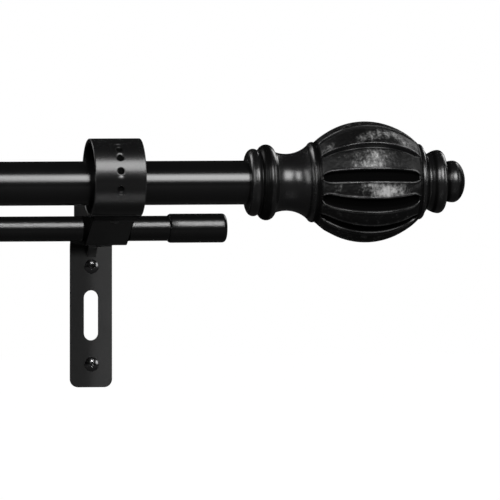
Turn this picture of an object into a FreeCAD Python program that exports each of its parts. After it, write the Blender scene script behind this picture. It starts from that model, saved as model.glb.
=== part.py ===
"""Double curtain pole: a turned, fluted finial at each end of the front pole, a plain capped
back pole behind and below it, and two wall brackets bent from flat bar that carry both.

Frame: X along the poles, Y towards the wall, Z up. The origin lies in the wall plane, midway
between the brackets and halfway between the upper and the lower wall screw. Millimetres, degrees.
"""
import FreeCAD
import Part
import Sketcher
import math
import os
import re

# Driving sizes: name, value, meaning
SIZES = [
    ("front_pole_d", 28, "front pole, outer diameter"),
    ("front_pole_wall", 1.2, "front pole, tube wall"),
    ("back_pole_d", 16, "back pole, outer diameter"),
    ("back_pole_wall", 1, "back pole, tube wall"),
    ("bracket_spacing", 530, "bracket middle to bracket middle"),
    ("finial_overhang", 85.5, "bracket middle to the end of the front pole"),
    ("cap_overhang", 77.9, "bracket middle to the outer end of the back pole's cap"),
    ("front_reach", 87, "wall to the front pole's axis"),
    ("front_rise", 86.7, "wall screw centre up to the front pole's axis"),
    ("back_behind", 34, "front pole's axis back to the back pole's axis"),
    ("back_below", 29.8, "front pole's axis down to the back pole's axis"),
    ("fit_gap", 0.1, "clearance round a pole in its seat and a pin in its hole"),
    ("strip_w", 27, "bracket strap, width of the flat bar"),
    ("strip_t", 2.5, "bracket strap, thickness of the flat bar"),
    ("strip_bend_r", 3, "bracket strap, inside radius of a bend"),
    ("plate_drop", 45.9, "wall screw centre down to the foot of the wall plate"),
    ("plate_corner_r", 5.2, "wall plate, corner radius"),
    ("riser_angle", 31, "slope of the strap up to the ring"),
    ("lap_angle", 11, "how far the strap laps forward under the ring"),
    ("gusset_leg", 9, "pressed rib in the inside corner of the strap, leg"),
    ("gusset_w", 6, "pressed rib, width"),
    ("wall_screw_spacing", 62.4, "upper to lower wall screw"),
    ("wall_screw_d", 4.5, "wall screw, shank diameter"),
    ("wall_screw_play", 0.5, "wall screw hole, clearance on diameter"),
    ("wall_screw_len", 38, "wall screw, length under the head"),
    ("wall_screw_point", 6.8, "wall screw, length of its point"),
    ("wall_screw_head_d", 9.2, "wall screw, head diameter"),
    ("wall_screw_head_t", 2.9, "wall screw, head height"),
    ("slot_w", 9.5, "height adjusting slot, width"),
    ("slot_len", 32, "height adjusting slot, length"),
    ("ring_d", 50, "pole ring, outer diameter"),
    ("ring_wall", 2.5, "pole ring, wall"),
    ("ring_w", 33, "pole ring, width along the pole"),
    ("ring_lift", 3.4, "front pole's axis up to the ring's centre"),
    ("ring_edge", 0.5, "pole ring, chamfer of its rims"),
    ("dimple_count", 4, "pressed dimples in the row"),
    ("dimple_d", 5.6, "pressed dimple, diameter"),
    ("dimple_depth", 1.1, "pressed dimple, depth"),
    ("dimple_top", 54.5, "highest dimple, angle above the horizontal"),
    ("dimple_pitch", 24.5, "angle from one dimple to the next"),
    ("saddle_w", 22, "pole saddle, width along the pole"),
    ("saddle_span", 21, "pole saddle, width across the pole"),
    ("stay_t", 2, "ring stay, thickness"),
    ("stay_bend_r", 2, "ring stay, inside radius of a bend"),
    ("stay_from_wall", 16.5, "wall to the middle of the stay's upright"),
    ("stay_tab", 15, "ring stay, height of the tab on the ring"),
    ("rivet_d", 4, "rivet, shank diameter"),
    ("rivet_head_d", 7, "rivet, head diameter"),
    ("rivet_head_t", 1.6, "rivet, head height"),
    ("lock_screw_d", 4, "lock screw, shank diameter"),
    ("lock_screw_point", 1, "lock screw, length of its point"),
    ("lock_screw_head_d", 7, "lock screw, head diameter"),
    ("lock_screw_head_t", 2.4, "lock screw, head height"),
    ("lock_screw_angle", 42, "lock screw, angle above the horizontal"),
    ("lock_screw_stand", 1.5, "lock screw, head clear of the ring"),
    ("head_rim_share", 0.3, "screw head, straight rim as a share of its height"),
    ("recess_w", 1, "cross recess, width of an arm"),
    ("recess_depth_share", 0.65, "cross recess, depth as a share of the head's height"),
    ("recess_share", 0.62, "cross recess, span as a share of the head"),
    ("cap_wall", 1.15, "end cap, wall"),
    ("cap_len", 37.2, "end cap, length"),
    ("cap_end_t", 1.6, "end cap, thickness of its end"),
    ("cap_round", 2.6, "end cap, radius of its outer edge"),
    ("cap_lip", 0.4, "end cap, chamfer of its mouth"),
    ("plug_len", 22, "pole plug, length"),
    ("plug_chamfer", 1.2, "pole plug, lead-in chamfer"),
    ("stud_d", 8, "finial stud, diameter"),
    ("stud_len", 32, "finial stud, length"),
    ("stud_chamfer", 0.8, "finial stud, chamfer of its ends"),
    ("finial_len", 140.4, "finial, overall length"),
    ("finial_face_r", 16.5, "finial, radius of the face on the pole"),
    ("collar_rise", 3.35, "first bead, rise of its curve"),
    ("collar_len", 7, "first bead, length"),
    ("collar_foot_r", 19.6, "radius between the first and the second bead"),
    ("torus_rise", 4.5, "second bead, rise of its curve"),
    ("torus_len", 10, "second bead, length"),
    ("neck_dip", 3.4, "neck, depth of its curve"),
    ("neck_len", 22.4, "neck, length"),
    ("neck_end_r", 24, "neck, radius where it flares into the third bead"),
    ("third_bead_rise", 1, "third bead, rise of its curve"),
    ("third_bead_len", 3.7, "third bead, length"),
    ("bulb_d", 77.2, "bulb, diameter"),
    ("bulb_arc_r", 47.3, "bulb, radius of its outline"),
    ("fourth_bead_len", 3.5, "fourth bead, length"),
    ("fourth_bead_start_r", 23.2, "fourth bead, radius of its inner end"),
    ("fourth_bead_rise", 1.45, "fourth bead, rise of its curve"),
    ("fourth_bead_end_r", 21.9, "fourth bead, radius of its outer end"),
    ("tail_r", 19.1, "radius of the groove behind the fifth bead"),
    ("tail_step", 1.9, "length of the slope down to that groove"),
    ("tail_flat", 1, "length of that groove"),
    ("fifth_bead_rise", 2.4, "fifth bead, rise of its curve"),
    ("fifth_bead_len", 10, "fifth bead, length"),
    ("fifth_bead_end_r", 16, "fifth bead, radius of its outer end"),
    ("knob_step", 1, "length of the step down to the knob"),
    ("knob_foot_r", 13, "knob, radius at its foot"),
    ("knob_rise", 0.9, "knob, rise of its side"),
    ("knob_side", 8.6, "knob, length of its side"),
    ("knob_shoulder_r", 12, "knob, radius at its shoulder"),
    ("knob_dome", 5.4, "knob, height of its domed end"),
    ("flute_count", 12, "flutes round the bulb"),
    ("flute_w", 7.6, "flute, width at the bulb's surface"),
    ("flute_floor", 4.4, "flute, width of its floor"),
    ("flute_depth", 3.2, "flute, depth"),
    ("flute_margin", 1.6, "beads to the ends of a flute"),
    ("flute_roll", 8, "turn of the finial that sets a flute this far above the horizontal"),
    ("cutter_height", 3, "how far the flute's cutter stands out of the bulb"),
]

# Sizes that follow from those: name, formula, meaning
DERIVED = [
    ("front_pole_r", "front_pole_d / 2", "front pole radius"),
    ("back_pole_r", "back_pole_d / 2", "back pole radius"),
    ("ring_r", "ring_d / 2", "ring, outer radius"),
    ("ring_bore_r", "ring_r - ring_wall", "ring, inner radius"),
    ("front_y", "-front_reach", "front pole's axis"),
    ("back_y", "back_behind - front_reach", "back pole's axis"),
    ("back_z", "front_rise - back_below", "back pole's axis"),
    ("ring_z", "front_rise + ring_lift", "ring's centre"),
    ("arm_top", "back_z - back_pole_r - fit_gap", "top of the strap's level arm"),
    ("arm_mid", "arm_top - strip_t / 2", "middle of the strap's level arm"),
    ("arm_under", "arm_top - strip_t", "underside of the strap's level arm"),
    ("bend_mid_r", "strip_bend_r + strip_t / 2", "bend radius at mid thickness"),
    ("cradle_r", "back_pole_r + fit_gap + strip_t / 2", "strap round the back pole, mid thickness"),
    ("lap_r", "ring_r + strip_t / 2", "strap round the ring, mid thickness"),
    ("crown_from_ring", "lap_r + bend_mid_r", "ring's centre to the centre of the bend under it"),
    ("foot_y", "back_behind - (cradle_r + bend_mid_r) * sin(riser_angle)", "start of that bend's line"),
    ("foot_z", "back_z - ring_z - (cradle_r + bend_mid_r) * cos(riser_angle)", "start of that bend's line"),
    ("foot_along", "foot_y * cos(riser_angle) - foot_z * sin(riser_angle)", "ring's centre along the riser"),
    ("foot_square", "foot_along ^ 2 - foot_y ^ 2 - foot_z ^ 2 + crown_from_ring ^ 2", "half chord, squared"),
    ("riser_len", "foot_along - sqrt(foot_square)", "straight part of the riser"),
    ("crown_y", "foot_y - riser_len * cos(riser_angle)", "bend under the ring, from the ring's centre"),
    ("crown_z", "foot_z + riser_len * sin(riser_angle)", "bend under the ring, from the ring's centre"),
    ("stay_mid_r", "stay_bend_r + stay_t / 2", "stay's bend radius at mid thickness"),
    ("stay_foot_z", "arm_top + stay_t / 2", "middle of the stay's foot"),
    ("stay_chock", "sqrt(back_pole_r ^ 2 - (back_pole_r - stay_t) ^ 2) + 2 * fit_gap", "axis to the chock"),
    ("stay_tab_y", "front_y + ring_r + stay_t / 2", "middle of the stay's tab"),
    ("stay_top_z", "ring_z + stay_tab / 2", "middle of the stay's upper flange"),
    ("foot_rivet_y", "(back_y + stay_chock - stay_from_wall - stay_mid_r) / 2", "rivet through the foot"),
    ("rivet_hole_r", "rivet_d / 2 + fit_gap / 2", "rivet hole radius"),
    ("rivet_dome_r", "((rivet_head_d / 2) ^ 2 + rivet_head_t ^ 2) / (2 * rivet_head_t)", "rivet head's dome"),
    ("rivet_in_ring", "ring_bore_r - sqrt(ring_bore_r ^ 2 - (rivet_head_d / 2) ^ 2)", "head to the bore"),
    ("wall_screw_neck_r", "(wall_screw_d - wall_screw_play) / 2", "wall screw's plain neck in the plate"),
    ("lock_aside", "ring_lift * cos(lock_screw_angle)", "ring's centre to the lock screw's line"),
    ("lock_ring_r", "ring_lift * sin(lock_screw_angle) + sqrt(ring_r ^ 2 - lock_aside ^ 2)", "axis to it"),
    ("lock_head_r", "lock_ring_r + lock_screw_stand", "pole's axis to the lock screw's head"),
    ("lock_screw_len", "lock_head_r - front_pole_r - fit_gap", "lock screw, length under the head"),
    ("dimple_ball_r", "((dimple_d / 2) ^ 2 + dimple_depth ^ 2) / (2 * dimple_depth)", "dimple's ball"),
    ("dimple_cut", "1.5 * dimple_depth", "height of the dimple's cutter"),
    ("dimple_mouth", "sqrt(2 * dimple_ball_r * dimple_cut - dimple_cut ^ 2)", "its radius there"),
    ("cap_r", "back_pole_r + fit_gap + cap_wall", "end cap, outer radius"),
    ("front_half", "bracket_spacing / 2 + finial_overhang", "half the front pole's length"),
    ("back_half", "bracket_spacing / 2 + cap_overhang - cap_end_t - fit_gap", "half the back pole's length"),
    ("plug_r", "front_pole_r - front_pole_wall - fit_gap", "pole plug radius"),
    ("bulb_r", "bulb_d / 2", "bulb radius"),
    ("bulb_axis_r", "bulb_r - bulb_arc_r", "centre of the bulb's outline"),
    ("collar_end", "collar_len", "end of the first bead"),
    ("torus_end", "collar_end + torus_len", "end of the second bead"),
    ("neck_end", "torus_end + neck_len", "end of the neck"),
    ("bulb_start", "neck_end + third_bead_len", "end of the third bead"),
    ("shoulder_at", "finial_len - knob_dome", "shoulder of the knob"),
    ("dome_r", "(knob_shoulder_r ^ 2 + knob_dome ^ 2) / (2 * knob_dome)", "radius of the knob's domed end"),
    ("knob_at", "shoulder_at - knob_side", "foot of the knob"),
    ("fifth_end", "knob_at - knob_step", "end of the fifth bead"),
    ("fifth_at", "fifth_end - fifth_bead_len", "start of the fifth bead"),
    ("groove_at", "fifth_at - tail_flat", "start of the groove"),
    ("tail_at", "groove_at - tail_step", "end of the fourth bead"),
    ("bulb_end", "tail_at - fourth_bead_len", "end of the bulb"),
    ("bulb_half", "(bulb_end - bulb_start) / 2", "half the bulb's length"),
    ("bulb_at", "bulb_start + bulb_half", "finial face to the widest point of the bulb"),
    ("bulb_rim_r", "bulb_axis_r + sqrt(bulb_arc_r ^ 2 - bulb_half ^ 2)", "radius of the bulb's ends"),
    ("flute_turn", "2 * asin((bulb_half - flute_margin) / bulb_arc_r)", "angle swept by the flute's cutter"),
    ("flute_spread", "(flute_w - flute_floor) * cutter_height / (2 * flute_depth)", "cutter's extra width"),
]

doc = FreeCAD.newDocument("DoubleCurtainPole")
sheet = doc.addObject("Spreadsheet::Sheet", "Sizes")
for row, (alias, number, meaning) in enumerate(SIZES, 1):
    sheet.set(f"A{row}", meaning)
    sheet.set(f"B{row}", str(number))
    sheet.setAlias(f"B{row}", alias)
for row, (alias, formula, meaning) in enumerate(DERIVED, len(SIZES) + 2):
    sheet.set(f"A{row}", meaning)
    sheet.set(f"B{row}", "=" + formula)
    sheet.setAlias(f"B{row}", alias)
doc.recompute()

NAMES = re.compile(r"\b(" + "|".join(entry[0] for entry in SIZES + DERIVED) + r")\b")
nodes = []


def tied(formula):
    """A formula on size names, as an expression that reads them from the sheet."""
    return NAMES.sub(r"Sizes.\1", str(formula))


def value(formula):
    """The number that a formula gives at present."""
    result = sheet.evalExpression(tied(formula))
    return float(getattr(result, "Value", result))


def bind(target, **formulas):
    """Tie properties of an object to the sheet; two underscores stand for a dot."""
    for path, formula in formulas.items():
        target.setExpression(path.replace("__", "."), tied(formula))


def new_body(label):
    body = doc.addObject("PartDesign::Body", label)
    body.Label = label
    nodes.append(body)
    return body


def place(body, x="0", y="0", z="0", rotation=None):
    """Set a piece in the frame, its position tied to the sheet."""
    if rotation is not None:
        body.Placement.Rotation = rotation
    bind(body, Placement__Base__x=x, Placement__Base__y=y, Placement__Base__z=z)


def new_sketch(body, name, plane, height="0", turn="0"):
    """A sketch on one of the body's own planes, raised off it and turned about its x axis."""
    sketch = body.newObject("Sketcher::SketchObject", f"{body.Name}_{name}")
    support = [item for item in body.Origin.OriginFeatures if item.Role == plane][0]
    sketch.AttachmentSupport = [(support, "")]
    sketch.MapMode = "FlatFace"
    if turn != "0":
        turned = FreeCAD.Rotation(FreeCAD.Vector(1, 0, 0), value(turn))
        sketch.AttachmentOffset = FreeCAD.Placement(FreeCAD.Vector(), turned)
        bind(sketch, AttachmentOffset__Rotation__Angle=turn)
    if height != "0":
        bind(sketch, AttachmentOffset__Base__z=height)
    return sketch


def hold(sketch, edge, end, x, y):
    """Fix one point of a sketch edge at formulas for its coordinates."""
    for kind, axis, formula in (("DistanceX", -2, x), ("DistanceY", -1, y)):
        if formula == "0":
            sketch.addConstraint(Sketcher.Constraint("PointOnObject", edge, end, axis))
        else:
            rule = Sketcher.Constraint(kind, -1, 1, edge, end, value(formula))
            index = sketch.addConstraint(rule)
            sketch.setExpression(f"Constraints[{index}]", tied(formula))


def circle(sketch, x, y, radius):
    """A circle whose centre and radius are tied to the sheet."""
    centre = FreeCAD.Vector(value(x), value(y), 0)
    normal = FreeCAD.Vector(0, 0, 1)
    edge = sketch.addGeometry(Part.Circle(centre, normal, value(radius)))
    hold(sketch, edge, 3, x, y)
    index = sketch.addConstraint(Sketcher.Constraint("Radius", edge, value(radius)))
    sketch.setExpression(f"Constraints[{index}]", tied(radius))


def add_arc(sketch, start, end, radius, left):
    """An arc from start to end that curves to the left or right; tells which end comes first."""
    chord = end - start
    half = chord.Length / 2
    rise = math.sqrt(max(radius ** 2 - half ** 2, 0))
    across = FreeCAD.Vector(-chord.y, chord.x, 0).normalize()
    centre = (start + end) / 2 + across * (rise if left else -rise)
    first, last = (start, end) if left else (end, start)
    angles = [math.atan2(point.y - centre.y, point.x - centre.x) for point in (first, last)]
    whole = Part.Circle(centre, FreeCAD.Vector(0, 0, 1), radius)
    edge = sketch.addGeometry(Part.ArcOfCircle(whole, *angles))
    return edge, (1, 2) if left else (2, 1)


def arc_through(start, end, rise):
    """Formula for the radius of an arc that stands a given rise above its chord."""
    chord_square = f"((({end[0]}) - ({start[0]})) ^ 2 + (({end[1]}) - ({start[1]})) ^ 2)"
    return f"{chord_square} / (8 * {rise}) + {rise} / 2"


def outline(sketch, corners, closed=True):
    """Lines and arcs from corner to corner. A corner is (x, y) formulas, with the radius of the
    arc that leads on from it and the side it curves to, 'left' or 'right', where it isn't a line."""
    points = [FreeCAD.Vector(value(corner[0]), value(corner[1]), 0) for corner in corners]
    count = len(corners) if closed else len(corners) - 1
    chain = []
    for index in range(count):
        corner = corners[index]
        start, end = points[index], points[(index + 1) % len(points)]
        if len(corner) == 2:
            edge = sketch.addGeometry(Part.LineSegment(start, end))
            ends = (1, 2)
        else:
            edge, ends = add_arc(sketch, start, end, value(corner[2]), corner[3] == "left")
            rule = sketch.addConstraint(Sketcher.Constraint("Radius", edge, value(corner[2])))
            sketch.setExpression(f"Constraints[{rule}]", tied(corner[2]))
        chain.append((edge, ends))
        hold(sketch, edge, ends[0], corner[0], corner[1])
        if index > 0:
            before, before_ends = chain[index - 1]
            sketch.addConstraint(Sketcher.Constraint("Coincident", before, before_ends[1], edge, ends[0]))
    last, last_ends = chain[-1]
    if closed:
        first, first_ends = chain[0]
        sketch.addConstraint(Sketcher.Constraint("Coincident", last, last_ends[1], first, first_ends[0]))
    else:
        hold(sketch, last, last_ends[1], corners[-1][0], corners[-1][1])


def rectangle(sketch, left, low, right, high):
    outline(sketch, [(left, low), (right, low), (right, high), (left, high)])


def pad(body, sketch, length, middle=True, reverse=False):
    feature = body.newObject("PartDesign::Pad", f"{sketch.Name}_Pad")
    feature.Profile = sketch
    feature.SideType = "Symmetric" if middle else "One side"
    feature.Reversed = reverse
    bind(feature, Length=length)
    return feature


def pocket(body, sketch, depth=None, middle=False, reverse=False):
    """Cut a sketch out of the body, to a depth or right through it."""
    feature = body.newObject("PartDesign::Pocket", f"{sketch.Name}_Pocket")
    feature.Profile = sketch
    feature.SideType = "Symmetric" if middle else "One side"
    feature.Reversed = reverse
    if depth is None:
        feature.Type = "ThroughAll"
    else:
        bind(feature, Length=depth)
    return feature


def revolve(body, sketch, kind="Revolution", axis="H_Axis", angle="360"):
    feature = body.newObject(f"PartDesign::{kind}", f"{sketch.Name}_{kind}")
    feature.Profile = sketch
    feature.ReferenceAxis = (sketch, [axis])
    feature.Midplane = angle != "360"
    bind(feature, Angle=angle)
    return feature


def polar(body, feature, axis, count, angle="360"):
    """Repeat a feature round one of the body's own axes."""
    ring = body.newObject("PartDesign::PolarPattern", f"{feature.Name}_Polar")
    ring.Originals = [feature]
    turn_axis = [item for item in body.Origin.OriginFeatures if item.Role == axis][0]
    ring.Axis = (turn_axis, [""])
    bind(ring, Occurrences=count, Angle=angle)
    body.Tip = ring
    return ring


def edges_where(feature, test):
    """Names of the edges of a feature that pass a test."""
    return [f"Edge{n}" for n, edge in enumerate(feature.Shape.Edges, 1) if test(edge)]


def dress(body, kind, feature, test, size):
    """A fillet or chamfer on the edges that pass a test."""
    doc.recompute()
    dressing = body.newObject(f"PartDesign::{kind}", f"{feature.Name}_{kind}")
    dressing.Base = (feature, edges_where(feature, test))
    bind(dressing, **{"Radius" if kind == "Fillet" else "Size": size})
    return dressing


def end_rims(edge):
    """True for a full circle square to the X axis."""
    curve = edge.Curve
    return isinstance(curve, Part.Circle) and edge.isClosed() and abs(curve.Axis.x) > 0.99


def make_tube(label, diameter, wall, half_length, y, z):
    body = new_body(label)
    section = new_sketch(body, "Section", "YZ_Plane")
    circle(section, "0", "0", f"{diameter} / 2")
    circle(section, "0", "0", f"{diameter} / 2 - {wall}")
    pad(body, section, f"2 * {half_length}")
    place(body, y=y, z=z)


def make_finial(label, side):
    """Turned bead, neck and bulb; the bulb's flutes are cut along its curve."""
    body = new_body(label)
    profile = new_sketch(body, "Profile", "XY_Plane")
    face = ("0", "finial_face_r")
    collar = ("collar_end", "collar_foot_r")
    torus = ("torus_end", "collar_foot_r")
    flare = ("neck_end", "neck_end_r")
    bulb = ("bulb_start", "bulb_rim_r")
    crown = ("bulb_end", "fourth_bead_start_r")
    tail = ("tail_at", "fourth_bead_end_r")
    fifth = ("fifth_at", "tail_r")
    fifth_end = ("fifth_end", "fifth_bead_end_r")
    knob = ("knob_at", "knob_foot_r")
    shoulder = ("shoulder_at", "knob_shoulder_r")
    outline(profile, [
        ("0", "0"),
        (*face, arc_through(face, collar, "collar_rise"), "right"),
        (*collar, arc_through(collar, torus, "torus_rise"), "right"),
        (*torus, arc_through(torus, flare, "neck_dip"), "left"),
        (*flare, arc_through(flare, bulb, "third_bead_rise"), "right"),
        (*bulb, "bulb_arc_r", "right"),
        ("bulb_end", "bulb_rim_r"),
        (*crown, arc_through(crown, tail, "fourth_bead_rise"), "right"),
        tail,
        ("groove_at", "tail_r"),
        (*fifth, arc_through(fifth, fifth_end, "fifth_bead_rise"), "right"),
        fifth_end,
        (*knob, arc_through(knob, shoulder, "knob_rise"), "right"),
        (*shoulder, "dome_r", "right"),
        ("finial_len", "0"),
    ])
    turned = revolve(body, profile)
    cutter = new_sketch(body, "Cutter", "YZ_Plane", height="bulb_at")
    outline(cutter, [
        ("bulb_r - flute_depth", "-flute_floor / 2"),
        ("bulb_r + cutter_height", "-flute_w / 2 - flute_spread"),
        ("bulb_r + cutter_height", "flute_w / 2 + flute_spread"),
        ("bulb_r - flute_depth", "flute_floor / 2"),
    ])
    axis_r = value("bulb_axis_r")
    pivot = Part.LineSegment(FreeCAD.Vector(axis_r, -1, 0), FreeCAD.Vector(axis_r, 1, 0))
    line = cutter.addGeometry(pivot, True)
    hold(cutter, line, 1, "bulb_axis_r", "-flute_w")
    hold(cutter, line, 2, "bulb_axis_r", "flute_w")
    flute = revolve(body, cutter, "Groove", "Axis0", "flute_turn")
    flutes = polar(body, flute, "X_Axis", "flute_count")
    bore = new_sketch(body, "Bore", "YZ_Plane")
    circle(bore, "0", "0", "stud_d / 2 + fit_gap")
    socket = pocket(body, bore, "stud_len / 2 + fit_gap", reverse=True)
    doc.recompute()
    if not turned.Shape.Volume > flutes.Shape.Volume > socket.Shape.Volume:
        raise ValueError("a cut in the finial removes nothing")
    about_x = FreeCAD.Rotation(FreeCAD.Vector(1, 0, 0), -value("flute_roll"))
    about_z = FreeCAD.Rotation(FreeCAD.Vector(0, 0, 1), 0 if side > 0 else 180)
    place(body, f"{side} * front_half", "front_y", "front_rise", about_z * about_x)


def make_stud(label, side):
    body = new_body(label)
    section = new_sketch(body, "Section", "YZ_Plane")
    circle(section, "0", "0", "stud_d / 2")
    rod = pad(body, section, "stud_len")
    dress(body, "Chamfer", rod, end_rims, "stud_chamfer")
    place(body, f"{side} * front_half", "front_y", "front_rise")


def make_plug(label, side):
    """Nylon plug pressed into the tube's end; the stud screws into it."""
    body = new_body(label)
    section = new_sketch(body, "Section", "YZ_Plane")
    circle(section, "0", "0", "plug_r")
    circle(section, "0", "0", "stud_d / 2 + fit_gap")
    block = pad(body, section, "plug_len", middle=False, reverse=side > 0)
    dress(body, "Chamfer", block, lambda edge: end_rims(edge) and abs(edge.BoundBox.XMin) > 1, "plug_chamfer")
    place(body, f"{side} * front_half", "front_y", "front_rise")


def make_end_cap(label, side):
    """Cup that slips over the end of the back pole; its mouth faces the bracket."""
    body = new_body(label)
    wall = new_sketch(body, "Wall", "XY_Plane")
    bore = "back_pole_r + fit_gap"
    outline(wall, [
        ("-cap_end_t", "0"),
        ("-cap_end_t", bore),
        ("-cap_len", bore),
        ("-cap_len", "cap_r - cap_lip"),
        ("cap_lip - cap_len", "cap_r"),
        ("-cap_round", "cap_r", "cap_round", "right"),
        ("0", "cap_r - cap_round"),
        ("0", "0"),
    ])
    revolve(body, wall)
    turned = FreeCAD.Rotation(FreeCAD.Vector(0, 0, 1), 0 if side > 0 else 180)
    place(body, f"{side} * (bracket_spacing / 2 + cap_overhang)", "back_y", "back_z", turned)


def make_strap(label, side):
    """Flat bar bent into the wall plate, the level arm, the cradle under the back pole and the
    riser that laps under the ring."""
    body = new_body(label)
    bar = new_sketch(body, "Bar", "XY_Plane", height="-plate_drop")
    rectangle(bar, "-strip_w / 2", "-strip_t", "strip_w / 2", "0")
    path = new_sketch(body, "Path", "YZ_Plane")
    share = "lap_r / crown_from_ring"
    outline(path, [
        ("-strip_t / 2", "-plate_drop"),
        ("-strip_t / 2", "arm_mid - bend_mid_r", "bend_mid_r", "left"),
        ("-strip_t / 2 - bend_mid_r", "arm_mid"),
        ("back_y", "arm_mid", "cradle_r", "right"),
        ("back_y - cradle_r * sin(riser_angle)", "back_z - cradle_r * cos(riser_angle)"),
        ("front_y + crown_y + bend_mid_r * sin(riser_angle)",
         "ring_z + crown_z + bend_mid_r * cos(riser_angle)", "bend_mid_r", "left"),
        (f"front_y + crown_y * {share}", f"ring_z + crown_z * {share}", "lap_r", "right"),
        ("front_y - lap_r * sin(lap_angle)", "ring_z - lap_r * cos(lap_angle)"),
    ], closed=False)
    strip = body.newObject("PartDesign::AdditivePipe", f"{label}_Bend")
    strip.Profile = bar
    strip.Spine = (path, [f"Edge{n}" for n in range(1, 8)])
    rib = new_sketch(body, "Rib", "YZ_Plane")
    outline(rib, [
        ("-strip_t / 2", "arm_mid"),
        ("-strip_t - gusset_leg", "arm_mid"),
        ("-strip_t - gusset_leg", "arm_under"),
        ("-strip_t", "arm_under - gusset_leg"),
        ("-strip_t / 2", "arm_under - gusset_leg"),
    ])
    pad(body, rib, "gusset_w")
    plate_holes = new_sketch(body, "PlateHoles", "XZ_Plane")
    for height in ("wall_screw_spacing / 2", "-wall_screw_spacing / 2"):
        circle(plate_holes, "0", height, "(wall_screw_d + wall_screw_play) / 2")
    straight = "(slot_len - slot_w) / 2"
    outline(plate_holes, [
        ("slot_w / 2", f"-{straight}"),
        ("slot_w / 2", straight, "slot_w / 2", "left"),
        ("0", "slot_len / 2", "slot_w / 2", "left"),
        ("-slot_w / 2", straight),
        ("-slot_w / 2", f"-{straight}", "slot_w / 2", "left"),
        ("0", "-slot_len / 2", "slot_w / 2", "left"),
    ])
    pocket(body, plate_holes, "2 * (strip_t + gusset_leg)", middle=True)
    rivet_holes = new_sketch(body, "RivetHoles", "XY_Plane")
    circle(rivet_holes, "0", "front_y", "rivet_hole_r")
    circle(rivet_holes, "0", "foot_rivet_y", "rivet_hole_r")
    drilled = pocket(body, rivet_holes, "2 * ring_z", middle=True)

    def plate_corner(edge):
        box = edge.BoundBox
        flat = max(box.XLength, box.ZLength) < 0.01 and abs(box.YLength - value("strip_t")) < 0.01
        return flat and abs(box.ZMin + value("plate_drop")) < 0.01

    dress(body, "Fillet", drilled, plate_corner, "plate_corner_r")
    place(body, f"{side} * bracket_spacing / 2")


def make_ring(label, side):
    """Broad band round the front pole, with a row of pressed dimples on its front."""
    body = new_body(label)
    section = new_sketch(body, "Section", "YZ_Plane")
    circle(section, "0", "0", "ring_r")
    circle(section, "0", "0", "ring_bore_r")
    band = pad(body, section, "ring_w")
    rims = dress(body, "Chamfer", band, end_rims, "ring_edge")
    dent = new_sketch(body, "Dent", "XY_Plane", turn="-dimple_top")
    outline(dent, [
        ("0", "dimple_depth - ring_r", "dimple_ball_r", "right"),
        ("dimple_mouth", "dimple_depth - ring_r - dimple_cut"),
        ("0", "dimple_depth - ring_r - dimple_cut"),
    ])
    dimple = revolve(body, dent, "Groove", "V_Axis")
    dimples = polar(body, dimple, "X_Axis", "dimple_count", "dimple_pitch * (dimple_count - 1)")
    under = new_sketch(body, "Under", "XY_Plane")
    circle(under, "0", "0", "rivet_hole_r")
    drilled = pocket(body, under)
    behind = new_sketch(body, "Behind", "XZ_Plane")
    circle(behind, "0", "0", "rivet_hole_r")
    pierced = pocket(body, behind)
    lock = new_sketch(body, "Lock", "XZ_Plane", turn="lock_screw_angle")
    circle(lock, "0", "-lock_aside", "(lock_screw_d + fit_gap) / 2")
    tapped = pocket(body, lock)
    doc.recompute()
    stages = [rims, dimples, drilled, pierced, tapped]
    if any(before.Shape.Volume <= after.Shape.Volume for before, after in zip(stages, stages[1:])):
        raise ValueError("a cut in the ring removes nothing")
    place(body, f"{side} * bracket_spacing / 2", "front_y", "ring_z")


def make_stay(label, side):
    """Strip that chocks the back pole with its foot and holds the ring from behind with its tab."""
    body = new_body(label)
    bar = new_sketch(body, "Bar", "XZ_Plane", height="-back_y - stay_chock")
    rectangle(bar, "-strip_w / 2", "arm_top", "strip_w / 2", "arm_top + stay_t")
    path = new_sketch(body, "Path", "YZ_Plane")
    outline(path, [
        ("back_y + stay_chock", "stay_foot_z"),
        ("-stay_from_wall - stay_mid_r", "stay_foot_z", "stay_mid_r", "left"),
        ("-stay_from_wall", "stay_foot_z + stay_mid_r"),
        ("-stay_from_wall", "stay_top_z - stay_mid_r", "stay_mid_r", "left"),
        ("-stay_from_wall - stay_mid_r", "stay_top_z"),
        ("stay_tab_y + stay_mid_r", "stay_top_z", "stay_mid_r", "left"),
        ("stay_tab_y", "stay_top_z - stay_mid_r"),
        ("stay_tab_y", "stay_top_z - stay_tab"),
    ], closed=False)
    strip = body.newObject("PartDesign::AdditivePipe", f"{label}_Bend")
    strip.Profile = bar
    strip.Spine = (path, [f"Edge{n}" for n in range(1, 8)])
    foot = new_sketch(body, "Foot", "XY_Plane", height="arm_top + stay_t")
    circle(foot, "0", "foot_rivet_y", "rivet_hole_r")
    drilled = pocket(body, foot)
    tab = new_sketch(body, "Tab", "XZ_Plane", height="-stay_tab_y - stay_t / 2")
    circle(tab, "0", "ring_z", "rivet_hole_r")
    pierced = pocket(body, tab, reverse=True)
    doc.recompute()
    if not strip.Shape.Volume > drilled.Shape.Volume > pierced.Shape.Volume:
        raise ValueError("a hole in the stay removes nothing")
    place(body, f"{side} * bracket_spacing / 2")


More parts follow.
